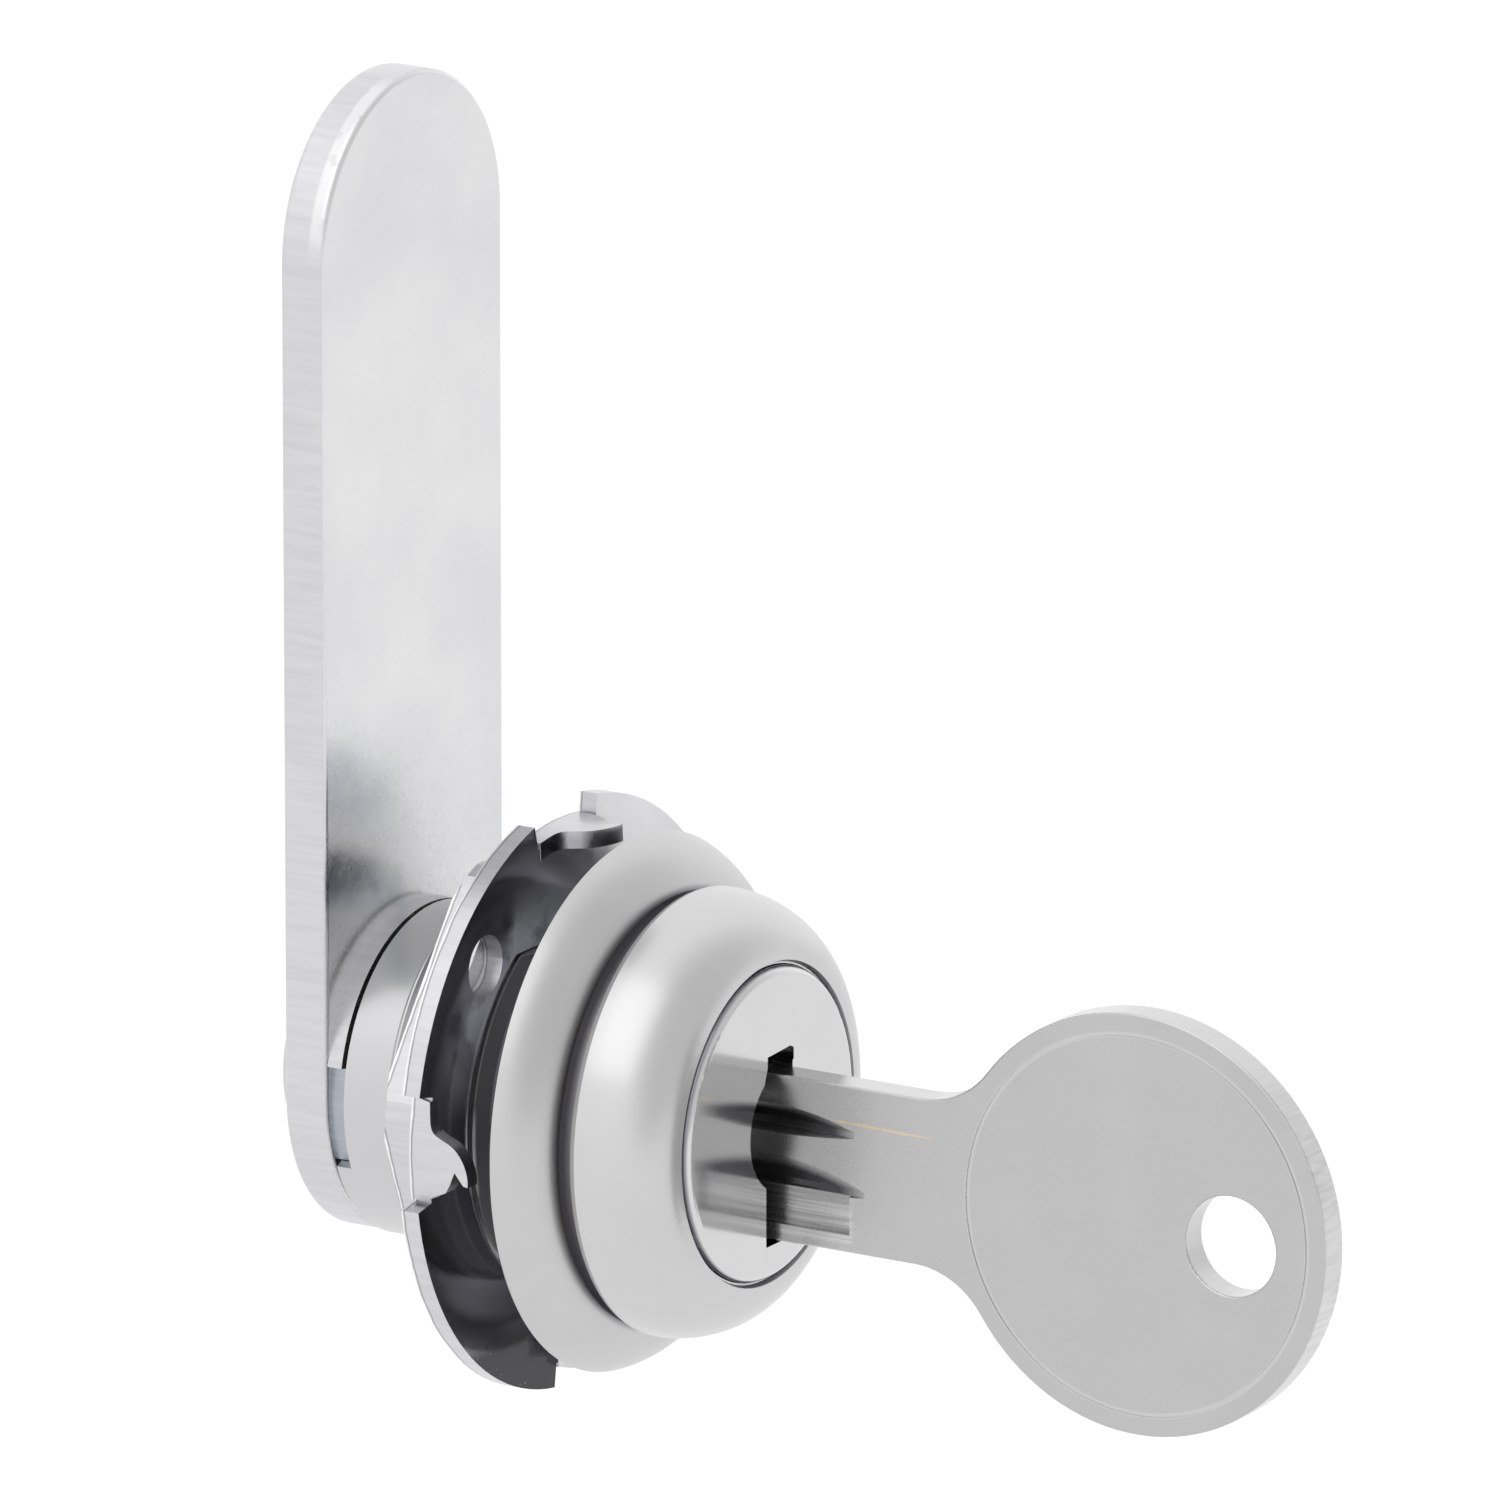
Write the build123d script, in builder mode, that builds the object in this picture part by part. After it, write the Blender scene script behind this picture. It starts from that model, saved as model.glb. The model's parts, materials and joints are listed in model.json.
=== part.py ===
"""Disc-tumbler cam lock: keyed plug in a threaded die-cast body, with a straight cam behind it.

Millimetres. The lock's axis is Y, and the key goes in from -Y. +Z is up, and the cam points up at rest.
The origin is on the axis, in the plane of the trim collar's back edge, which meets the panel's front.
Angles round the axis are "clock" angles in degrees: 0 is up (+Z) and 90 is to the left (-X).
"""
from build123d import *
from math import cos, radians, sin
import os

os.makedirs("parts", exist_ok=True)

# ---------------------------------------------------------------- driving dimensions
panel_gap = 3.14            # collar's back edge to the spur washer's front face
running = 0.05              # radial clearance of the turning plug
slip = 0.10                 # clearance of the loose pieces on the barrel

# plug
face_y = -7.75              # front face of the plug
flange_r = 7.6
flange_back = -5.40
plug_r = 6.0
shoulder_y = 11.30          # where the square tail starts
tail_side = 7.4
tail_corner_r = 5.0
tail_end = 14.3
face_edge_r = 0.45          # rounding of the face's rim

# body
head_r = 10.8               # widest ring of the domed head
head_lip_r = 7.85           # inner edge of the dome, beside the plug
head_widest_y = -3.40
head_seat_y = -2.90         # shoulder that the collar bears on
head_seat_r = 10.05
head_front_y = -7.53        # front of the dome's lip
thread_r = 9.52             # 3/4 inch thread
thread_root_r = 8.95
thread_pitch = 0.94
thread_front = 0.6
barrel_back = 8.14
flat_z = 7.94               # half of the 5/8 inch across the two flats
boss_r = 8.1
boss_back = 11.05
lug_inner_r = 7.0           # fixed stop on the rear of the boss
lug_back = 11.85
lug_start, lug_end = 113.0, 245.0
quarter_turn = 90.0
stop_play = 0.3

# wafers
wafer_count = 5
wafer_pitch = 2.3
first_wafer_y = -3.6
wafer_t = 1.2
wafer_half = 3.2
wafer_lift = 0.9            # travel of a wafer between key in and key out
wafer_end_r = 5.95
channel_reach = 7.05
channel_back = 6.7
lug_x = 4.75
lug_low, lug_high = -0.6, 0.4
pocket_x = 4.0
pocket_r = 0.78
pocket_floor = -3.1

# retaining wafer
keeper_y = 8.3
keeper_half = 2.2
keeper_low = 0.5
keeper_top = 6.75
keeper_groove_r = 6.95
keeper_pocket_r = 0.95
keeper_pocket_floor = -2.4
keeper_play = 0.12          # along the axis, each side

# key
key_x = 0.10                # near side of the key
key_t = 1.60
blade_top = 2.50
blade_bottom = -5.70
blade_step_y = -6.05        # full-height blade in front of this, cut blade behind it
tip_y = 7.0
first_cut_z = -4.9
cut_step = 0.4
cut_half = 0.85             # half the length of one cut
bow_y, bow_z, bow_r = -27.6, -1.9, 10.26
neck_fillet = 4.4
key_edge_r = 0.12
tip_z = 0.6                 # height of the key's point
tip_slope = 1.6
land_depth = 0.35           # flat land milled under the lower groove
land_top, land_bottom = -2.9, -4.83
land_end_y = -11.94
coin_r, coin_width, coin_depth = 9.22, 0.16, 0.06
ring_hole_y, ring_hole_z, ring_hole_r = -32.68, -2.15, 2.43

# collar, spur washer and nut
collar_r = 12.98
collar_hole_r = thread_r + slip
collar_front_y = -2.35
collar_lip_r = 10.45        # inner edge of the collar's curved front
collar_pocket_y = -1.35     # floor of the hollow behind the collar
collar_pocket_r = 10.2
seat_inner_r = 11.7         # flat ring that meets the panel
seat_outer_r = 12.45
washer_r = 14.31
washer_t = 0.95
spur_turns = (3.4, 88.6, 183.4, 268.6)  # clock angles of the spurs
spur_t = 0.85
side_hole_place = 11.45     # two small holes in the washer
side_hole_r = 1.5
side_hole_turn = 44.7
notch_half_angle = 11.3
notch_r = 13.11
nut_across_flats = 22.2
nut_back = 6.32
nut_turn = 22.0             # clock angle of the nut's first corner
nut_corner_r = 12.55        # the corners are rounded off at both ends
nut_end_r = 12.0
nut_corner_t = 0.35

# stop washer, cam and cam screw
cam_front = 12.08
finger_r = 7.6
tab_left = 77.0             # clock angle where the stop washer steps down to its finger
cam_t = 2.38
cam_width = 16.0
cam_tip_z = 48.6
cam_hole = 7.5
cam_edge_r = 0.3
screw_r = 2.5
screw_tip_y = 10.2
lock_washer_t = 0.8
lock_washer_r = 6.2
lock_washer_teeth = 10
screw_head_r = 4.9
screw_head_h = 2.0
screw_rim_h = 0.8           # straight side of the screw's head
recess_long, recess_wide, recess_depth = 4.4, 1.0, 1.5

washer_front = panel_gap
washer_back = panel_gap + washer_t
cam_back = cam_front + cam_t
head_bearing_y = cam_back + lock_washer_t
wafer_y = [first_wafer_y + i * wafer_pitch for i in range(wafer_count)]
cut_z = [first_cut_z + i * cut_step for i in range(wafer_count)]


def across(y):
    """Plane square to the lock's axis at y. Extruding from it goes towards the front."""
    return Plane.XZ.offset(-y)


def at_clock(radius, angle):
    """Point of an across() plane at a clock angle."""
    return (-radius * sin(radians(angle)), radius * cos(radians(angle)))


def thread_points(front, back, crest, root):
    """Zigzag (r, y) of a thread drawn as rings, in step with every other thread on this axis."""
    points = []
    y = thread_front
    while y + 0.55 * thread_pitch < back:
        if y >= front:
            points += [(root, y), (crest, y + 0.45 * thread_pitch), (crest, y + 0.55 * thread_pitch)]
        y += thread_pitch
    return points


def sector(inner, outer, start, stop):
    """Flat sector of a ring between two clock angles, to be added to a sketch."""
    middle = (start + stop) / 2
    with BuildSketch() as flat:
        with BuildLine():
            Line(at_clock(inner, start), at_clock(outer, start))
            ThreePointArc(at_clock(outer, start), at_clock(outer, middle), at_clock(outer, stop))
            Line(at_clock(outer, stop), at_clock(inner, stop))
            ThreePointArc(at_clock(inner, stop), at_clock(inner, middle), at_clock(inner, start))
        make_face()
    return flat.sketch


def finish(piece, label):
    piece.part.label = label
    export_step(piece.part, f"parts/{label}.step")


# ---------------------------------------------------------------- body
counterbore_r = flange_r + running
bore_r = plug_r + running
channel_half = wafer_half + 0.1
head_chamfer = 0.12
lip_drop = 0.28
run_in = 0.3                # plain length in front of the first thread
blank = 30.0                # cutters reach past everything

with BuildPart() as lock_body:
    # domed head, barrel with its rings of thread, and the rear boss
    with BuildSketch(Plane.XY):
        with BuildLine():
            rings = thread_points(thread_front, barrel_back, thread_r, thread_root_r)
            dome_front = (head_lip_r, head_front_y)
            lip_back_y = head_front_y + lip_drop
            Polyline(
                (0, boss_back), (0, lip_back_y), (head_lip_r - head_chamfer, lip_back_y), dome_front,
            )
            EllipticalCenterArc(
                (head_lip_r, head_widest_y), head_r - head_lip_r, head_widest_y - head_front_y,
                start_angle=270, arc_size=90,
            )
            Polyline(
                (head_r, head_widest_y), (head_r - head_chamfer, head_widest_y + lip_drop),
                (head_seat_r, head_seat_y), (thread_r, head_seat_y),
                (thread_r, thread_front - run_in), *rings, (thread_root_r, barrel_back),
                (boss_r, barrel_back), (boss_r, boss_back), (0, boss_back),
            )
        make_face()
    revolve(axis=Axis.Y)
    # fixed stop on the rear of the boss
    with BuildSketch(across(lug_back)):
        add(sector(lug_inner_r, boss_r, lug_start, lug_end))
    extrude(amount=lug_back - boss_back)
    # two flats along the barrel, above and below
    with BuildSketch(across(barrel_back)):
        with Locations((0, flat_z + blank / 2), (0, -flat_z - blank / 2)):
            Rectangle(blank, blank)
    extrude(amount=barrel_back - thread_front + run_in, mode=Mode.SUBTRACT)
    # seat of the plug's flange, bore, and the channels that catch the wafers
    with BuildSketch(across(flange_back + running)):
        Circle(counterbore_r)
    extrude(amount=blank, mode=Mode.SUBTRACT)
    with BuildSketch(across(boss_back)):
        Circle(bore_r)
    extrude(amount=boss_back - face_y, mode=Mode.SUBTRACT)
    with BuildSketch(across(channel_back)):
        Rectangle(2 * channel_half, 2 * channel_reach)
        Rectangle(2 * channel_reach, 2 * channel_half)
    extrude(amount=channel_back - flange_back, mode=Mode.SUBTRACT)
    # groove that holds the retaining wafer at every angle
    with BuildSketch(across(keeper_y + wafer_t / 2 + keeper_play)):
        Circle(keeper_groove_r)
    extrude(amount=wafer_t + 2 * keeper_play, mode=Mode.SUBTRACT)
finish(lock_body, "lock_body")

# ---------------------------------------------------------------- plug
play = 0.1                          # round the key and the wafers
slot_t = wafer_t + play
window_low = blade_bottom + 0.5     # floor of the keyway behind the flange
keyway_back = tip_y + 0.2
screw_hole_depth = 5.0

with BuildPart() as plug:
    with BuildSketch(across(flange_back)):
        Circle(flange_r)
    extrude(amount=flange_back - face_y)
    rim = plug.faces().sort_by(Axis.Y)[0].edges()
    fillet(rim, face_edge_r)
    with BuildSketch(across(shoulder_y)):
        Circle(plug_r)
    extrude(amount=shoulder_y - flange_back)
    with BuildSketch(across(tail_end)):
        Rectangle(tail_side, tail_side)
        Circle(tail_corner_r, mode=Mode.INTERSECT)
    extrude(amount=tail_end - shoulder_y)
    # mouth of the keyway in the flange, with a bulge on its left
    with BuildSketch(across(flange_back)):
        with BuildLine():
            Polyline(
                (-0.55, -3.0), (-0.55, -5.93), (1.85, -5.93), (1.85, 2.75), (1.95, 2.75), (1.95, 3.35),
                (1.63, 3.5), (-0.42, 3.4), (-0.42, 2.9), (-0.7, 2.1),
            )
            ThreePointArc((-0.7, 2.1), (-2.0, -0.25), (-0.55, -3.0))
        make_face()
    extrude(amount=flange_back - face_y, mode=Mode.SUBTRACT)
    # keyway through the wafers
    with BuildSketch(across(keyway_back)):
        with Locations((key_x + key_t / 2, (blade_top + play + window_low) / 2)):
            Rectangle(key_t + 2 * play, blade_top + play - window_low)
    extrude(amount=keyway_back - flange_back, mode=Mode.SUBTRACT)
    # one slot, one lug slot and one spring pocket for each wafer
    for y in wafer_y:
        with BuildSketch(across(y + slot_t / 2)):
            Rectangle(2 * wafer_half + play, blank)
            with Locations((-(lug_x + running) / 2, (lug_low + lug_high + wafer_lift) / 2)):
                Rectangle(lug_x + running, lug_high - lug_low + wafer_lift + 2 * play)
        extrude(amount=slot_t, mode=Mode.SUBTRACT)
        with BuildSketch(Plane.XY.offset(pocket_floor)):
            with Locations((-pocket_x, y)):
                Circle(pocket_r)
        extrude(amount=lug_low - pocket_floor, mode=Mode.SUBTRACT)
    # slot and spring pocket of the retaining wafer
    with BuildSketch(across(keeper_y + slot_t / 2)):
        with Locations((0, keeper_low - play + blank / 2)):
            Rectangle(2 * keeper_half + play, blank)
    extrude(amount=slot_t, mode=Mode.SUBTRACT)
    with BuildSketch(Plane.XY.offset(keeper_pocket_floor)):
        with Locations((0, keeper_y)):
            Circle(keeper_pocket_r)
    extrude(amount=keeper_low - keeper_pocket_floor, mode=Mode.SUBTRACT)
    # hole of the cam screw in the tail
    with BuildSketch(across(tail_end)):
        Circle(screw_r + 0.02)
    extrude(amount=screw_hole_depth, mode=Mode.SUBTRACT)
finish(plug, "plug")

# ---------------------------------------------------------------- key
cutter_x = 0.3                      # how far the groove profiles start outside the blade

with BuildPart() as key:
    with BuildSketch(Plane.YZ.offset(key_x)):
        with Locations((bow_y, bow_z)):
            Circle(bow_r)
        with BuildLine():
            steps = [(blade_step_y, blade_bottom), (blade_step_y + 0.6, cut_z[0])]
            for y, z in zip(wafer_y, cut_z):
                steps += [(y + cut_half, z), (y + cut_half + cut_step, z + cut_step)]
            Polyline(
                (bow_y, blade_bottom), *steps[:-1], (tip_y, cut_z[-1] + tip_slope), (tip_y, tip_z),
                (tip_y - tip_slope, blade_top), (bow_y, blade_top), (bow_y, blade_bottom),
            )
        make_face()
        corners = [v for v in vertices() if -20 < v.X < -16]
        fillet(corners, neck_fillet)
        with Locations((ring_hole_y, ring_hole_z)):
            Circle(ring_hole_r, mode=Mode.SUBTRACT)
    extrude(amount=key_t)
    # soft edges round the bow and along the neck
    rounded = key.faces().filter_by(Axis.X).edges().filter_by(lambda e: e.center().Y < face_y)
    fillet(rounded, key_edge_r)
    # milled grooves along the blade: depth, top, deep top, deep bottom, bottom, cutter radius, side
    for depth, top, deep_top, deep_bottom, bottom, radius, side in (
        (0.5, 1.05, 0.25, -0.05, -0.37, 20.0, -1),
        (0.5, -1.5, -2.6, -2.9, -3.1, 25.0, -1),
        (0.4, -0.35, -0.75, -0.95, -1.35, 20.0, 1),
    ):
        face_x = key_x if side < 0 else key_x + key_t
        grow = cutter_x / depth
        with BuildSketch(across(face_y)) as groove:
            Polygon(
                (face_x + side * cutter_x, top + grow * (top - deep_top)),
                (face_x - side * depth, deep_top),
                (face_x - side * depth, deep_bottom),
                (face_x + side * cutter_x, bottom - grow * (deep_bottom - bottom)),
                align=None,
            )
        spindle = Axis((face_x + side * (radius - depth), face_y, 0), (0, 0, 1))
        revolve(groove.sketch, axis=spindle, mode=Mode.SUBTRACT)
        extrude(amount=face_y - tip_y - 1, mode=Mode.SUBTRACT)
    # flat land milled under the lower groove
    with BuildSketch(across(tip_y + 1)):
        with Locations((key_x, (land_top + land_bottom) / 2)):
            Rectangle(2 * land_depth, land_top - land_bottom)
    extrude(amount=tip_y + 1 - land_end_y, mode=Mode.SUBTRACT)
    # coined ring on both sides of the bow
    for x, thickness in ((key_x, coin_depth), (key_x + key_t, -coin_depth)):
        with BuildSketch(Plane.YZ.offset(x)):
            with Locations((bow_y, bow_z)):
                Circle(coin_r + coin_width / 2)
                Circle(coin_r - coin_width / 2, mode=Mode.SUBTRACT)
        extrude(amount=thickness, mode=Mode.SUBTRACT)
finish(key, "key")

# ---------------------------------------------------------------- wafers and their springs
wire_r = 0.17
coil_turns = 5
wafer_coil_r, keeper_coil_r = 0.58, 0.7
window_play = 0.3           # above the key in a wafer's window


def coil(name, x, y, low, high, radius):
    """Compression spring standing between two heights."""
    height = high - low - 2 * wire_r
    with BuildPart() as spring:
        with BuildLine():
            Helix(pitch=height / coil_turns, height=height, radius=radius, center=(x, y, low + wire_r))
        with BuildSketch(Plane(origin=(x + radius, y, low + wire_r), z_dir=(0, 1, 0))):
            Circle(wire_r)
        sweep()
    finish(spring, name)


for i, (y, z) in enumerate(zip(wafer_y, cut_z), start=1):
    with BuildPart() as wafer:
        with BuildSketch(across(y + wafer_t / 2)):
            Circle(wafer_end_r)
            Rectangle(2 * wafer_half, blank, mode=Mode.INTERSECT)
            with Locations((-lug_x / 2, (lug_low + lug_high) / 2)):
                Rectangle(lug_x, lug_high - lug_low)
            window = (z - play, blade_top + window_play)
            with Locations((key_x + key_t / 2, sum(window) / 2)):
                Rectangle(key_t + 2 * play, window[1] - window[0], mode=Mode.SUBTRACT)
        extrude(amount=wafer_t)
    finish(wafer, f"wafer_{i}")
    coil(f"wafer_spring_{i}", -pocket_x, y, pocket_floor, lug_low, wafer_coil_r)

with BuildPart() as retaining_wafer:
    with BuildSketch(across(keeper_y + wafer_t / 2)):
        Circle(keeper_top)
        with Locations((0, keeper_low + blank / 2)):
            Rectangle(2 * keeper_half, blank, mode=Mode.INTERSECT)
    extrude(amount=wafer_t)
finish(retaining_wafer, "retaining_wafer")
coil("retaining_spring", 0, keeper_y, keeper_pocket_floor, keeper_low, keeper_coil_r)

# ---------------------------------------------------------------- trim collar
with BuildPart() as trim_collar:
    with BuildSketch(Plane.XY):
        with BuildLine():
            Polyline(
                (seat_inner_r, -0.25), (seat_inner_r, 0), (seat_outer_r, 0),
                (collar_r - 0.06, -0.04), (collar_r, -0.12),
            )
            ThreePointArc((collar_r, -0.12), (11.95, -1.6), (collar_lip_r, collar_front_y))
            Polyline(
                (collar_lip_r, collar_front_y), (10.0, collar_front_y), (10.0, head_seat_y),
                (collar_hole_r, head_seat_y), (collar_hole_r, collar_pocket_y),
                (collar_pocket_r, collar_pocket_y),
            )
            ThreePointArc((collar_pocket_r, collar_pocket_y), (11.1, -0.9), (seat_inner_r, -0.25))
        make_face()
    revolve(axis=Axis.Y)
finish(trim_collar, "trim_collar")

# ---------------------------------------------------------------- spur washer
spur_outer = notch_r + 0.25
spur_inner = spur_outer - spur_t

with BuildPart() as spur:
    # a bent-up tooth on the left: its outline seen from the side, cut from a ring
    with BuildSketch(Plane.YZ.offset(-spur_outer - 0.1)):
        with BuildLine():
            Polyline((washer_back, -2.45), (washer_back, 2.6), (washer_front - 0.02, 2.4))
            Spline(
                (washer_front - 0.02, 2.4), (3.0, 1.5), (2.82, 1.02), (2.3, 0.72), (1.72, 0.45),
                (1.2, -0.1), (0.92, -0.8), (0.9, -1.4),
            )
            Polyline(
                (0.9, -1.4), (1.15, -1.35), (1.6, -0.75), (1.9, -1.45), (2.14, -1.85), (2.9, -2.2),
                (washer_front, -2.4), (washer_back, -2.45),
            )
        make_face()
    extrude(amount=3)
    with BuildSketch(across(washer_back)):
        Circle(spur_outer)
        Circle(spur_inner, mode=Mode.SUBTRACT)
    extrude(amount=6, mode=Mode.INTERSECT)

with BuildSketch() as barrel_hole:
    Circle(thread_r + slip)
    Rectangle(blank, 2 * (flat_z + slip), mode=Mode.INTERSECT)

with BuildPart() as spur_washer:
    with BuildSketch(across(washer_back)):
        Circle(washer_r)
        add(barrel_hole.sketch, mode=Mode.SUBTRACT)
        for middle in spur_turns:
            notch = sector(notch_r, washer_r + 1, middle - notch_half_angle, middle + notch_half_angle)
            add(notch, mode=Mode.SUBTRACT)
        with Locations(*(at_clock(side_hole_place, side_hole_turn + half) for half in (0, 180))):
            Circle(side_hole_r, mode=Mode.SUBTRACT)
    extrude(amount=washer_t)
    for i, middle in enumerate(spur_turns):
        # teeth lean alternate ways round the rim
        tooth = spur.part if i % 2 else mirror(spur.part, about=Plane.XY, mode=Mode.PRIVATE)
        add(tooth.rotate(Axis.Y, 90 - middle))
finish(spur_washer, "spur_washer")

# ---------------------------------------------------------------- hex nut
nut_front = washer_back
nut_slip = 0.03             # round the thread

with BuildPart() as hex_nut:
    with BuildSketch(across(nut_back)):
        RegularPolygon(nut_across_flats / 2, 6, major_radius=False, rotation=90 + nut_turn)
    extrude(amount=nut_back - nut_front)
    with BuildSketch(Plane.XY):
        with BuildLine():
            Polyline(
                (0, nut_front), (nut_end_r, nut_front), (nut_corner_r, nut_front + nut_corner_t),
                (nut_corner_r, nut_back - nut_corner_t), (nut_end_r, nut_back), (0, nut_back),
                (0, nut_front),
            )
        make_face()
    revolve(axis=Axis.Y, mode=Mode.INTERSECT)
    with BuildSketch(Plane.XY):
        with BuildLine():
            crest, root = thread_r + nut_slip, thread_root_r + nut_slip
            rings = thread_points(nut_front, nut_back, crest, root)
            Polyline(
                (0, nut_front), (crest, nut_front), (crest, rings[0][1]), *rings,
                (crest, nut_back), (0, nut_back), (0, nut_front),
            )
        make_face()
    revolve(axis=Axis.Y, mode=Mode.SUBTRACT)
finish(hex_nut, "hex_nut")

# ---------------------------------------------------------------- stop washer, cam, lock washer, screw
disc_r = lug_inner_r - 0.15
sector_inner_r = 6.0
finger_end = lug_start - stop_play
tab_right = lug_end - 360 + quarter_turn + stop_play

with BuildPart() as stop_washer:
    with BuildSketch(across(cam_front)):
        Circle(disc_r)
        add(sector(sector_inner_r, finger_r, tab_right, finger_end))
        add(sector(sector_inner_r, boss_r, tab_right, tab_left))
        Rectangle(cam_hole, cam_hole, mode=Mode.SUBTRACT)
    extrude(amount=cam_front - shoulder_y)
finish(stop_washer, "stop_washer")

with BuildPart() as cam:
    length = cam_tip_z - cam_width / 2
    with BuildSketch(across(cam_back)):
        with Locations((0, length / 2)):
            SlotCenterToCenter(length, cam_width, rotation=90)
    extrude(amount=cam_t)
    fillet(cam.faces().filter_by(Axis.Y).edges(), cam_edge_r)
    with BuildSketch(across(cam_back)):
        Rectangle(cam_hole, cam_hole)
    extrude(amount=cam_t, mode=Mode.SUBTRACT)
finish(cam, "cam")

with BuildPart() as cam_lock_washer:
    with BuildSketch(across(head_bearing_y)):
        Circle(lock_washer_r)
        with PolarLocations(lock_washer_r, lock_washer_teeth):
            SlotOverall(2.6, 0.9, mode=Mode.SUBTRACT)
        Circle(screw_r + 0.2, mode=Mode.SUBTRACT)
    extrude(amount=lock_washer_t)
finish(cam_lock_washer, "cam_lock_washer")

with BuildPart() as cam_screw:
    head_back = head_bearing_y + screw_head_h
    rim_y = head_bearing_y + screw_rim_h
    point = 0.4                 # chamfer of the screw's end
    with BuildSketch(Plane.XY):
        with BuildLine():
            Polyline(
                (0, head_back), (0, screw_tip_y), (screw_r - point, screw_tip_y),
                (screw_r, screw_tip_y + point), (screw_r, head_bearing_y),
                (screw_head_r, head_bearing_y), (screw_head_r, rim_y),
            )
            Spline(
                (screw_head_r, rim_y), (screw_head_r - 1.3, head_back - 0.35), (0, head_back),
                tangents=((0, 1), (-1, 0)),
            )
        make_face()
    revolve(axis=Axis.Y)
    with BuildSketch(across(head_back)):
        Rectangle(recess_long, recess_wide)
        Rectangle(recess_wide, recess_long)
    extrude(amount=recess_depth, taper=8, mode=Mode.SUBTRACT)
finish(cam_screw, "cam_screw")
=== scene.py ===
"""Looks of a keyed cam lock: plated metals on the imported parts, in a plain soft white studio.

Metres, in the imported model's frame. The lock's axis is Y, the key side is -Y, and the cam points up.
"""
import json

import bpy
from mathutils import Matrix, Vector


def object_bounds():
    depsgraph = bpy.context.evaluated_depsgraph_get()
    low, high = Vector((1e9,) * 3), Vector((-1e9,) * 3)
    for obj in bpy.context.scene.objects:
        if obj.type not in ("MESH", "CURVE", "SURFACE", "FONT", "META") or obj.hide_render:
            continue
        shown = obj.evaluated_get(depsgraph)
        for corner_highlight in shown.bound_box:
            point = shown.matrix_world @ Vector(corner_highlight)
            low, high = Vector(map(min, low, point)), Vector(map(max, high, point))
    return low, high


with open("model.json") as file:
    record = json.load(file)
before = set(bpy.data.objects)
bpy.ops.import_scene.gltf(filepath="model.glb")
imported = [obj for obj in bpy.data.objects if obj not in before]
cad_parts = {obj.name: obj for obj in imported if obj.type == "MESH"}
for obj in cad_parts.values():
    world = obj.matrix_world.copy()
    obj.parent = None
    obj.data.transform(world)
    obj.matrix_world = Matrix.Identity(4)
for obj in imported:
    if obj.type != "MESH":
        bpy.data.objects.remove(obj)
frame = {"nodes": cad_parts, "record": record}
cad_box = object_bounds()
MM = 0.001
FLOOR_DROP = 0.06


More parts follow.
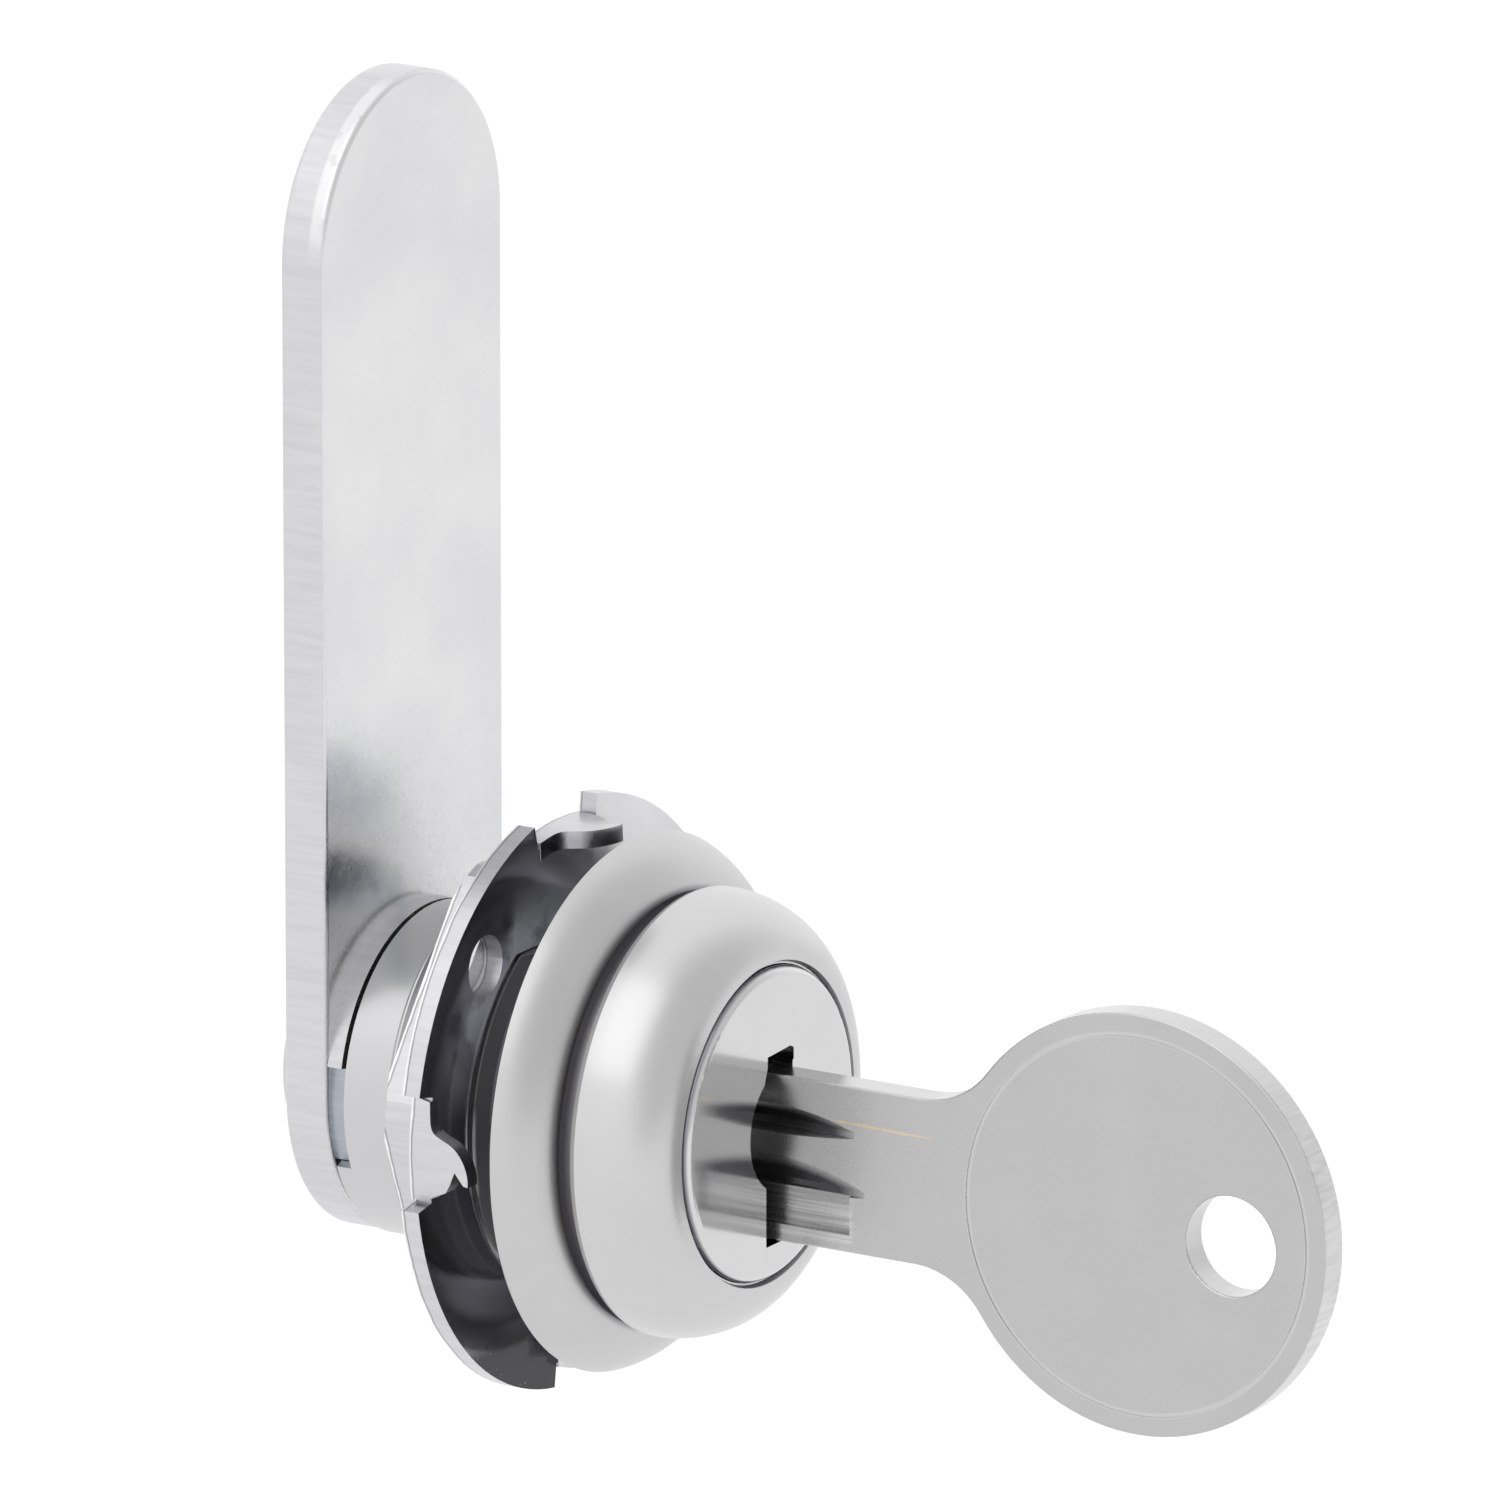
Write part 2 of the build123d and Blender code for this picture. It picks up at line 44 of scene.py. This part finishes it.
# ---------------------------------------------------------------- node helpers
class Finish:
    """One material, with short calls for the nodes that its pattern is made of."""

    def __init__(self, name):
        self.material = bpy.data.materials.new(name)
        self.material.use_nodes = True
        self.tree = self.material.node_tree
        self.shader = self.tree.nodes["Principled BSDF"]
        coordinates = self.tree.nodes.new("ShaderNodeTexCoord")
        self.place = coordinates.outputs["Object"]
        self.normal = coordinates.outputs["Normal"]

    def node(self, kind, *inputs, **settings):
        """A node with its inputs filled in order: a socket is linked, a value is set, None is left."""
        made = self.tree.nodes.new(kind)
        for name, value in settings.items():
            setattr(made, name, value)
        for socket, value in zip(made.inputs, inputs):
            if isinstance(value, bpy.types.NodeSocket):
                self.tree.links.new(value, socket)
            elif value is not None:
                socket.default_value = value
        return made

    def math(self, operation, *inputs):
        return self.node("ShaderNodeMath", *inputs, operation=operation).outputs[0]

    def axis(self, vector, name):
        return self.node("ShaderNodeSeparateXYZ", vector).outputs[name]

    def noise(self, size, detail=2.0, stretch=(1, 1, 1), place=None):
        """Cloudy pattern, 0 to 1, whose spots are about `size` mm across, times `stretch` along each axis."""
        scale = [1 / (size * MM * s) for s in stretch]
        moved = self.node("ShaderNodeMapping", place or self.place, None, None, scale)
        made = self.node("ShaderNodeTexNoise", moved.outputs[0])
        made.inputs["Scale"].default_value = 1.0
        made.inputs["Detail"].default_value = detail
        return made.outputs["Fac"]

    def spread(self, value, low, high, to_low=0.0, to_high=1.0):
        """Maps low..high of a value to to_low..to_high, and holds it inside them."""
        made = self.node("ShaderNodeMapRange", value, low, high, to_low, to_high)
        return made.outputs[0]

    def fade(self, place, start, full, at_start=0.0, at_full=1.0):
        """Soft step of a place or distance, between two values in mm."""
        return self.spread(place, start * MM, full * MM, at_start, at_full)

    def both(self, *masks):
        """1 where every mask is 1, and 0 where any is 0."""
        product, *others = masks
        for mask in others:
            product = self.math("MULTIPLY", product, mask)
        return product

    def tint(self, tone, colour, strength, *masks):
        """Lays a colour over a tone where every mask is 1."""
        return self.blend(self.both(*masks, strength), tone, colour)

    def blend(self, factor, first, second):
        """Mixes two colours by a factor."""
        made = self.tree.nodes.new("ShaderNodeMix")
        made.data_type = "RGBA"
        for socket, value in ((made.inputs[0], factor), (made.inputs[6], first), (made.inputs[7], second)):
            if isinstance(value, bpy.types.NodeSocket):
                self.tree.links.new(value, socket)
            elif isinstance(value, tuple):
                socket.default_value = (*value, 1)
            else:
                socket.default_value = value
        return made.outputs[2]

    def bump(self, height, strength, depth, under=None):
        """Bump of `depth` mm from a height of 0 to 1."""
        made = self.tree.nodes.new("ShaderNodeBump")
        made.inputs["Strength"].default_value = strength
        made.inputs["Distance"].default_value = depth * MM
        self.tree.links.new(height, made.inputs["Height"])
        if under:
            self.tree.links.new(under, made.inputs["Normal"])
        return made.outputs[0]

    def metal(self, colour, roughness, normal):
        """Sends the finished pattern to the shader."""
        self.shader.inputs["Metallic"].default_value = 1.0
        for name, value in (("Base Color", colour), ("Roughness", roughness), ("Normal", normal)):
            self.tree.links.new(value, self.shader.inputs[name])
        return self.material

    def edge_mask(self, face_axis):
        """1 on the sheared edge of a sheet that lies square to an axis, 0 on its two faces."""
        face_slope, edge_slope = 0.80, 0.55
        slope = self.math("ABSOLUTE", self.axis(self.normal, face_axis))
        return self.spread(slope, face_slope, edge_slope)

    def turned(self):
        """Place seen from a lathe: distance from the axis and place along it, so patterns run round it."""
        x, y, z = (self.axis(self.place, name) for name in "XYZ")
        radius = self.math("SQRT", self.math("ADD", self.math("MULTIPLY", x, x), self.math("MULTIPLY", z, z)))
        return self.node("ShaderNodeCombineXYZ", radius, y, 0.0).outputs[0]


# ---------------------------------------------------------------- places on the parts, in mm
# each pair is a soft step, from where its mask is 0 to where it is 1, and each R is a distance from the axis
UNDER_DOME_Y = (-3.30, -2.95)
BEFORE_WASHER_Y = (3.6, 3.2)
BEHIND_WASHER_Y = (3.3, 3.9)
NECK_R = (10.75, 10.6)
THREAD_R = (9.7, 9.6)
THREAD_Y = (-1.0, 0.2)
CREST_R = (9.42, 9.50)
CREST_Y = (2.6, 2.8)
CREST_BOTTOM_Z = (-3.0, -1.8)
CREST_TOP_Z = (1.6, 0.4)
PLUG_RIM_R = (7.46, 7.54)
COLLAR_LIP_R = (10.75, 10.45)

BOW_Y, BOW_Z, RING_R = -27.6, -1.9, 9.22    # the coined ring, round the middle of the bow
RING_LINE = (0.16, 0.10)            # distance from the coined ring
KEY_MIDDLE_X = 0.90
SUNK = (0.76, 0.55)                 # distance from the key's middle plane
LOW_LAND_Z = (-2.95, -3.05)
GROOVE_Y = (-14.6, -14.2)
LAND_Y = (-12.2, -11.9)
LAND_X = (0.6, 0.5)
TORN_Y = (-34.5, -36.5)
TORN_Z = (-9.0, -6.0)
SCRATCH_START_Y, SCRATCH_END_Y, SCRATCH_Z = -16.9, -10.9, 0.55
SCRATCH_RISE = 0.02                 # height gained per length towards the lock
SCRATCH_LINE = (0.075, 0.03)        # distance from the scratch
SCRATCH_X = (0.5, 0.3)

WASHER_FRONT_Y = 3.14
WASHER_BACK_Y = 4.15
NUT_BACK_Y = 6.35
# the washer's painted dark reflection, and the pale film painted for a highlight on it
WASHER_DARK_REFLECTION_X = (1.8, 1.4)
HIGHLIGHT_FILM_BOTTOM_Z = (1.0, 6.0)
HIGHLIGHT_FILM_TOP_Z = (12.0, 8.5)
HIGHLIGHT_FILM_R = (13.0, 10.8)
DARK_REFLECTION_LOW_Z = (-8.0, -11.0)
FINGER_Z = (1.75, 1.60)
FINGER_X = (0.0, -1.0)

CORNER_Y = (12.95, 12.80)
CORNER_X = (-1.0, -2.5)
CORNER_Z = (41.0, 42.5)
BLUE_BAND_Z = ((8.2, 9.6), (11.6, 10.0))
PALE_BAND_Z = ((11.5, 14.0), (19.0, 15.0))
BANDS_X = (1.0, -5.0)


# ---------------------------------------------------------------- finishes
# colours of painted shade: the first for gaps and hollows, the second for the grooves beside the dome
DEEP_SHADE = (0.20, 0.20, 0.215)
SHADE = (0.24, 0.235, 0.25)


def polished_nickel():
    """Soft polished plating with a trace of turning rings, and painted shade in the undercut behind the dome
    and on the barrel in the gap before the washer.
    """
    f = Finish("polished_nickel")
    cloud = f.noise(5, 3)
    rings = f.noise(0.12, 2, place=f.turned())
    dust = f.spread(f.noise(0.12, 1), 0.74, 0.80)
    radius, y = (f.axis(f.turned(), name) for name in "XY")
    z = f.axis(f.place, "Z")
    tone = f.blend(cloud, (0.545, 0.545, 0.55), (0.60, 0.60, 0.605))
    tone = f.tint(tone, (0.50, 0.50, 0.50), 0.35, dust)
    # painted shade in the undercut behind the dome, and on the thread in the gap in front of the washer
    gap = f.fade(y, *BEFORE_WASHER_Y)
    tone = f.tint(tone, SHADE, 1.0, gap, f.fade(y, *UNDER_DOME_Y), f.fade(radius, *NECK_R))
    shaded_thread = f.both(gap, f.fade(radius, *THREAD_R), f.fade(y, *THREAD_Y))
    tone = f.tint(tone, DEEP_SHADE, 0.92, shaded_thread)
    # painted highlight on the crest of the last thread before the washer
    crest_highlight = f.both(gap, f.fade(radius, *CREST_R), f.fade(y, *CREST_Y))
    tone = f.tint(tone, (0.80, 0.80, 0.80), 0.9, crest_highlight, f.fade(z, *CREST_BOTTOM_Z), f.fade(z, *CREST_TOP_Z))
    # slightly darker barrel behind the washer
    barrel = f.blend(cloud, (0.52, 0.52, 0.53), (0.58, 0.58, 0.59))
    tone = f.blend(f.fade(y, *BEHIND_WASHER_Y), tone, barrel)
    rough = f.math("ADD", f.spread(cloud, 0.3, 0.7, 0.27, 0.32), f.math("MULTIPLY", dust, 0.2))
    rough = f.math("MULTIPLY_ADD", shaded_thread, 0.30, rough)
    normal = f.bump(rings, 0.05, 0.01, under=f.bump(f.noise(2.5, 2), 0.06, 0.03))
    return f.metal(tone, rough, normal)


def plug_nickel():
    """Brighter plating over a face with fine upright grain."""
    f = Finish("plug_nickel")
    grain = f.noise(0.06, 3, stretch=(1, 1, 30))
    cloud = f.noise(3, 3)
    pits = f.spread(f.noise(0.15, 1), 0.72, 0.78)
    tone = f.blend(cloud, (0.60, 0.60, 0.605), (0.65, 0.65, 0.655))
    tone = f.tint(tone, (0.45, 0.45, 0.45), 0.4, pits)
    # painted shade of the groove round the plug, a dark line at its rim
    tone = f.tint(tone, DEEP_SHADE, 0.9, f.fade(f.axis(f.turned(), "X"), *PLUG_RIM_R))
    rough = f.spread(grain, 0.25, 0.75, 0.09, 0.17)
    return f.metal(tone, rough, f.bump(grain, 0.10, 0.006))


def key_nickel():
    """Satin plating on stamped brass: fine grain along the blade, a torn edge, one worn-through scratch."""
    f = Finish("key_nickel")
    edge = f.edge_mask("X")
    face = f.math("SUBTRACT", 1.0, edge)
    grain = f.noise(0.07, 3, stretch=(1, 16, 1))
    matte = f.noise(0.10, 2)
    streaks = f.noise(0.22, 3, stretch=(10, 1, 1))
    cloud = f.noise(4, 3)
    x, y, z = (f.axis(f.place, name) for name in "XYZ")
    tone = f.blend(cloud, (0.45, 0.45, 0.452), (0.50, 0.50, 0.502))
    # the edge is smooth, and torn in streaks round the far end of the bow
    tone = f.tint(tone, (0.62, 0.62, 0.62), 0.5, edge)
    torn = f.both(edge, f.fade(y, *TORN_Y, 0.22, 1.0), f.fade(z, *TORN_Z, 0.3, 1.0))
    tone = f.blend(f.both(torn, f.spread(streaks, 0.35, 0.7)), tone, (0.66, 0.66, 0.66))
    # the coined ring is worn pale
    upright = f.node("ShaderNodeCombineXYZ", 0.0, y, z).outputs[0]
    from_middle = f.node("ShaderNodeVectorMath", upright, (0.0, BOW_Y * MM, BOW_Z * MM), operation="DISTANCE")
    off_ring = f.math("ABSOLUTE", f.math("SUBTRACT", from_middle.outputs["Value"], RING_R * MM))
    tone = f.tint(tone, (0.62, 0.62, 0.62), 0.45, f.fade(off_ring, *RING_LINE))
    # painted shade in the milled grooves, and less of it on the flat land under them
    inset = f.math("ABSOLUTE", f.math("SUBTRACT", x, KEY_MIDDLE_X * MM))
    low_land = f.fade(z, *LOW_LAND_Z)
    above = f.math("SUBTRACT", 1.0, f.math("MULTIPLY", low_land, 0.75))
    groove_shade = f.both(f.fade(inset, *SUNK), face, above, f.fade(y, *GROOVE_Y))
    tone = f.tint(tone, (0.05, 0.05, 0.055), 0.90, groove_shade)
    # lines that the cutter left on the land
    land = f.both(low_land, f.fade(y, *LAND_Y), f.fade(x, *LAND_X))
    lines = f.both(f.spread(f.noise(0.14, 3, stretch=(1, 60, 1)), 0.42, 0.62), land)
    tone = f.tint(tone, (0.70, 0.70, 0.70), 0.6, lines)
    # the scratch runs up the neck on the near side, a little off the blade's direction
    along = f.math("SUBTRACT", y, SCRATCH_START_Y * MM)
    line_z = f.math("MULTIPLY_ADD", along, SCRATCH_RISE, SCRATCH_Z * MM)
    wobble = f.math("MULTIPLY", f.noise(1.2, 1, stretch=(1, 1, 100)), 0.08 * MM)
    off_line = f.math("ABSOLUTE", f.math("SUBTRACT", z, f.math("ADD", line_z, wobble)))
    scratch = f.both(f.fade(off_line, *SCRATCH_LINE), f.fade(y, SCRATCH_START_Y, SCRATCH_START_Y + 1.5),
                     f.fade(y, SCRATCH_END_Y, SCRATCH_END_Y - 0.5), f.fade(x, *SCRATCH_X),
                     f.spread(f.noise(0.5, 2), 0.35, 0.5, 0.35, 1.0))
    tone = f.tint(tone, (0.80, 0.60, 0.30), 0.65, scratch)
    rough = f.math("ADD", f.spread(matte, 0.3, 0.7, 0.26, 0.34), f.math("MULTIPLY", edge, -0.08))
    face_bump = f.bump(grain, 0.12, 0.008, under=f.bump(matte, 0.10, 0.008))
    face_bump = f.bump(lines, 0.4, 0.02, under=face_bump)
    normal = f.bump(f.both(streaks, torn), 0.3, 0.03, under=face_bump)
    return f.metal(tone, rough, normal)


def satin_nickel():
    """Matte plating of the trim collar, with a fine even tooth, and painted shade inside it and at its inner
    lip.
    """
    f = Finish("satin_nickel")
    tooth = f.noise(0.10, 2)
    cloud = f.noise(4, 3)
    tone = f.blend(cloud, (0.51, 0.51, 0.51), (0.57, 0.57, 0.57))
    # painted shade on the faces that look back, inside the collar
    tone = f.tint(tone, DEEP_SHADE, 0.92, f.spread(f.axis(f.normal, "Y"), 0.05, 0.25))
    # painted shade at the inner lip, in the groove beside the dome
    tone = f.blend(f.fade(f.axis(f.turned(), "X"), *COLLAR_LIP_R), tone, SHADE)
    rough = f.spread(tooth, 0.3, 0.7, 0.30, 0.38)
    return f.metal(tone, rough, f.bump(tooth, 0.12, 0.010))


def edge_shade_and_highlight(f, tone, edge, back_y):
    """A fine painted line of shade with a painted highlight of a rolled edge behind it, along the rear of a
    sheared edge.
    """
    wander = f.math("MULTIPLY_ADD", f.noise(1.6, 3), 0.22 * MM, (back_y - 0.30) * MM)
    past = f.math("SUBTRACT", f.axis(f.place, "Y"), wander)
    # painted shade line along the rear edge, then a painted highlight just behind it
    tone = f.tint(tone, (0.25, 0.25, 0.28), 0.75, f.fade(f.math("ABSOLUTE", past), 0.055, 0.025), edge)
    return f.tint(tone, (0.88, 0.88, 0.89), 0.8, f.fade(past, 0.04, 0.08), edge)


def painted_dark_reflection(f, tone, rough):
    """The washer's front, left of the middle: painted dark reflection, nearly black low down, with dust
    specks and, on its upper part, a pale film painted for a bluish highlight.
    """
    x, y, z = (f.axis(f.place, name) for name in "XYZ")
    radius = f.axis(f.turned(), "X")
    # painted dark reflection on the front face, left of the middle
    front = f.both(f.spread(f.axis(f.normal, "Y"), -0.80, -0.95), f.fade(x, *WASHER_DARK_REFLECTION_X),
                   f.fade(y, WASHER_FRONT_Y - 0.30, WASHER_FRONT_Y - 0.15))
    # pale, less metallic film painted for a bluish highlight on the upper part
    highlight_film = f.both(f.spread(f.noise(2.2, 3), 0.32, 0.55), f.fade(z, *HIGHLIGHT_FILM_BOTTOM_Z), f.fade(z, *HIGHLIGHT_FILM_TOP_Z),
                   f.fade(radius, *HIGHLIGHT_FILM_R))
    # painted reflection: darker plate, nearly black low down
    reflection_tone = f.blend(f.fade(z, *DARK_REFLECTION_LOW_Z), (0.58, 0.58, 0.63), (0.05, 0.05, 0.055))
    reflection_tone = f.blend(highlight_film, reflection_tone, (0.90, 0.93, 1.0))
    reflection_tone = f.tint(reflection_tone, (0.5, 0.5, 0.52), 0.5, f.spread(f.noise(0.14, 1), 0.73, 0.78))
    film = f.math("SUBTRACT", 1.0, f.both(highlight_film, front, 0.55))
    f.tree.links.new(film, f.shader.inputs["Metallic"])
    return f.blend(front, tone, reflection_tone), f.math("SUBTRACT", rough, f.math("MULTIPLY", front, 0.10))


def blue_finger(f, tone, edge, streaks):
    """Painted shade, dark and bluish, on the edge of the stop washer's lower finger."""
    x, z = f.axis(f.place, "X"), f.axis(f.place, "Z")
    # painted shade on the left part of the finger's edge
    plating = f.blend(streaks, (0.30, 0.33, 0.37), (0.46, 0.49, 0.53))
    return f.blend(f.both(f.fade(z, *FINGER_Z), f.fade(x, *FINGER_X), edge), tone, plating)


def cam_marks(f, tone, edge):
    """A painted highlight at the upper left of the cam's edge, and bluish bands low on its front."""
    x, y, z = (f.axis(f.place, name) for name in "XYZ")
    # painted highlight on the cam's edge at the upper left
    corner_highlight = f.both(f.fade(y, *CORNER_Y), f.fade(x, *CORNER_X), f.fade(z, *CORNER_Z))
    tone = f.tint(tone, (0.80, 0.80, 0.81), 0.60, corner_highlight, f.spread(f.noise(0.8, 3), 0.30, 0.45), edge)
    height = f.math("ADD", z, f.math("MULTIPLY", f.noise(5, 2), 3.0 * MM))
    height = f.math("MULTIPLY_ADD", x, 0.35, height)
    left = f.both(f.fade(x, *BANDS_X, 0.25, 1.0), f.spread(f.axis(f.normal, "Y"), -0.5, -0.8),
                  f.spread(f.noise(1.6, 3), 0.38, 0.62, 0.45, 1.0))
    for (bottom, top), colour, strength in ((BLUE_BAND_Z, (0.22, 0.26, 0.33), 0.62),
                                            (PALE_BAND_Z, (0.42, 0.46, 0.53), 0.30)):
        tone = f.tint(tone, colour, strength, f.fade(height, *bottom), f.fade(height, *top), left)
    return tone


def zinc(name, tone_low, tone_high, rough_low, rough_high, kind=None, rear_edge_y=None):
    """Bright zinc plate on stamped steel: cloudy faces, light specks, and a faintly streaked sheared edge.

    `kind` adds the marks of one part: "washer", "ring" or "cam".
    """
    f = Finish(name)
    edge = f.edge_mask("Y")
    cloud = f.noise(7, 4)
    tooth = f.noise(0.30, 3)
    specks = f.spread(f.noise(0.16, 1), 0.70, 0.78)
    streaks = f.noise(0.30, 3, stretch=(1, 14, 1))
    tone = f.blend(f.spread(cloud, 0.35, 0.65), tone_low, tone_high)
    tone = f.tint(tone, (0.90, 0.90, 0.92), 0.20, specks)
    edge_tone = f.blend(f.spread(streaks, 0.35, 0.70), (0.60, 0.595, 0.62), (0.535, 0.53, 0.56))
    tone = f.tint(tone, edge_tone, 0.8, edge)
    rough = f.math("ADD", f.spread(tooth, 0.3, 0.7, rough_low, rough_high), f.math("MULTIPLY", edge, 0.10))
    # painted shade line and highlight along the rear edge of the washer and the nut
    if rear_edge_y:
        tone = edge_shade_and_highlight(f, tone, edge, rear_edge_y)
    # painted dark reflection and painted highlight film on the washer's front
    if kind == "washer":
        tone, rough = painted_dark_reflection(f, tone, rough)
    # painted shade on the stop washer's lower finger
    if kind == "ring":
        tone = blue_finger(f, tone, edge, streaks)
    if kind == "cam":
        tone = cam_marks(f, tone, edge)
    face_bump = f.bump(tooth, 0.06, 0.012, under=f.bump(cloud, 0.10, 0.25))
    normal = f.bump(f.both(streaks, edge), 0.06, 0.02, under=face_bump)
    return f.metal(tone, rough, normal)


def wafer_brass():
    """Plain stamped brass with upright shear marks."""
    f = Finish("wafer_brass")
    cloud = f.noise(2, 3)
    streaks = f.noise(0.12, 2, stretch=(1, 12, 1))
    tone = f.blend(cloud, (0.74, 0.56, 0.27), (0.84, 0.68, 0.38))
    return f.metal(tone, f.spread(streaks, 0.3, 0.7, 0.22, 0.36), f.bump(streaks, 0.2, 0.01))


def spring_steel():
    """Drawn wire: fine bright streaks along it."""
    f = Finish("spring_steel")
    draw = f.noise(0.05, 2, stretch=(6, 6, 1))
    tone = f.blend(draw, (0.52, 0.52, 0.54), (0.68, 0.68, 0.70))
    return f.metal(tone, f.spread(draw, 0.3, 0.7, 0.20, 0.34), f.bump(draw, 0.15, 0.005))


FINISHES = {
    "body_nickel": polished_nickel(),
    "plug_nickel": plug_nickel(),
    "key_nickel": key_nickel(),
    "satin_nickel": satin_nickel(),
    "zinc_washer": zinc("zinc_washer", (0.60, 0.60, 0.62), (0.68, 0.68, 0.69), 0.20, 0.26,
                        "washer", WASHER_BACK_Y),
    "zinc_nut": zinc("zinc_nut", (0.60, 0.60, 0.61), (0.68, 0.68, 0.69), 0.22, 0.30, rear_edge_y=NUT_BACK_Y),
    "zinc_ring": zinc("zinc_ring", (0.60, 0.60, 0.61), (0.68, 0.68, 0.69), 0.22, 0.30, "ring"),
    "zinc_cam": zinc("zinc_cam", (0.66, 0.66, 0.675), (0.72, 0.72, 0.725), 0.20, 0.28, "cam"),
    "zinc_screw": zinc("zinc_screw", (0.60, 0.60, 0.62), (0.68, 0.68, 0.70), 0.18, 0.26),
    "wafer_brass": wafer_brass(),
    "spring_steel": spring_steel(),
}

for entry in frame["record"]["subparts"]:
    part = frame["nodes"][entry["node"]]
    part.data.materials.clear()
    part.data.materials.append(FINISHES[entry["material_slot"]])


# ---------------------------------------------------------------- studio
def plain(name, colour, roughness):
    f = Finish(name)
    tone = f.blend(f.noise(120, 2), tuple(0.985 * c for c in colour), colour)
    f.tree.links.new(tone, f.shader.inputs["Base Color"])
    f.shader.inputs["Roughness"].default_value = roughness
    f.shader.inputs["Specular IOR Level"].default_value = 0.0
    return f.material


def floor():
    """Pale ground below the lock, wide enough to fill every view."""
    low = cad_box[0][2] - FLOOR_DROP
    radius = 2.5
    bpy.ops.mesh.primitive_circle_add(vertices=96, radius=radius, fill_type="NGON", location=(0, 0, low))
    ground = bpy.context.object
    ground.name = "floor"
    ground.data.materials.append(plain("pale_floor", (0.95, 0.95, 0.95), 0.9))


def softbox(name, place, size, power, aim=(0, 0, 0.01)):
    """Square area light that faces a point."""
    light = bpy.data.lights.new(name, "AREA")
    light.shape = "RECTANGLE"
    light.size, light.size_y = size
    light.energy = power
    lamp = bpy.data.objects.new(name, light)
    lamp.location = place
    lamp.rotation_euler = (Vector(aim) - Vector(place)).to_track_quat("-Z", "Y").to_euler()
    bpy.context.collection.objects.link(lamp)


def surroundings():
    """White room, a little dimmer in front of the lock."""
    front = Vector((0.05, -0.94, 0.33)).normalized()
    white, dim = 1.19, 0.80
    starts, full = 0.30, 0.85       # cosines of the angle to the front, where the dimming starts and is full
    world = bpy.data.worlds.new("studio")
    world.use_nodes = True
    tree = world.node_tree
    sky = tree.nodes["Background"]
    way = tree.nodes.new("ShaderNodeTexCoord")
    dot = tree.nodes.new("ShaderNodeVectorMath")
    dot.operation = "DOT_PRODUCT"
    dot.inputs[1].default_value = front
    level = tree.nodes.new("ShaderNodeMapRange")
    level.interpolation_type = "SMOOTHSTEP"
    for socket, value in zip(level.inputs, (None, starts, full, white, dim)):
        if value is not None:
            socket.default_value = value
    tree.links.new(way.outputs["Generated"], dot.inputs[0])
    tree.links.new(dot.outputs["Value"], level.inputs[0])
    tree.links.new(level.outputs[0], sky.inputs["Strength"])
    sky.inputs["Color"].default_value = (1, 1, 1, 1)
    bpy.context.scene.world = world


def camera():
    """Long lens on the key side, to the left of the lock and a little above it."""
    target = Vector((3.50, -4.39, 17.04)) * MM
    distance = 1.1216
    back = Vector((-0.8235, -0.5004, 0.2674)).normalized()
    lens = bpy.data.cameras.new("camera")
    lens.sensor_width = 36
    lens.lens = 570.5
    lens.clip_start = 0.05
    eye = bpy.data.objects.new("camera", lens)
    eye.location = target + distance * back
    eye.rotation_euler = (-back).to_track_quat("-Z", "Y").to_euler()
    bpy.context.collection.objects.link(eye)
    bpy.context.scene.camera = eye


floor()
surroundings()
softbox("top_left", (-0.62, 0.04, 0.85), (1.0, 1.0), 1.6)
camera()
bpy.context.scene.view_settings.view_transform = "Standard"
